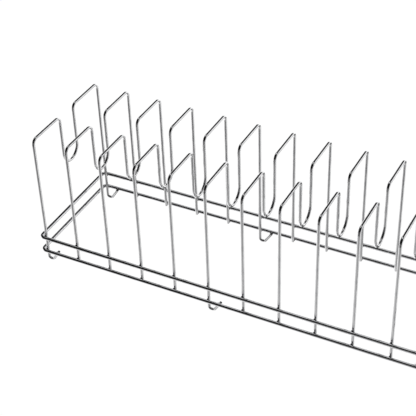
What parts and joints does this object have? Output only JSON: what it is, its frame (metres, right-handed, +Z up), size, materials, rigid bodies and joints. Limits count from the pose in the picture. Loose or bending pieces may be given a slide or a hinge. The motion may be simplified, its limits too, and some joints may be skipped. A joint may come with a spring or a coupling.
{
  "type": "dish drying rack",
  "caption": "Free-standing plate rack of bent and welded chrome wire, with M-shaped dividers between two rectangular rings, that holds plates on edge to drain.",
  "frame": {"origin": "on the surface that the rack stands on, under the middle of the rack", "axes": "+X along the row of dividers, -Y to the front, +Z up"},
  "size_m": [0.455, 0.1388, 0.1596],
  "materials": {
    "chrome_ring_wire": "bright chrome plate on thick steel wire",
    "chrome_divider_wire": "bright chrome plate on thinner steel wire"
  },
  "bodies": {
    "root": {"lower_ring": "chrome_ring_wire", "upper_ring": "chrome_ring_wire", "divider_wire_01": "chrome_divider_wire", "divider_wire_02": "chrome_divider_wire", "divider_wire_03": "chrome_divider_wire", "divider_wire_04": "chrome_divider_wire", "divider_wire_05": "chrome_divider_wire", "divider_wire_06": "chrome_divider_wire", "divider_wire_07": "chrome_divider_wire", "divider_wire_08": "chrome_divider_wire", "divider_wire_09": "chrome_divider_wire", "divider_wire_10": "chrome_divider_wire", "divider_wire_11": "chrome_divider_wire", "divider_wire_12": "chrome_divider_wire"}
  },
  "joints": []
}
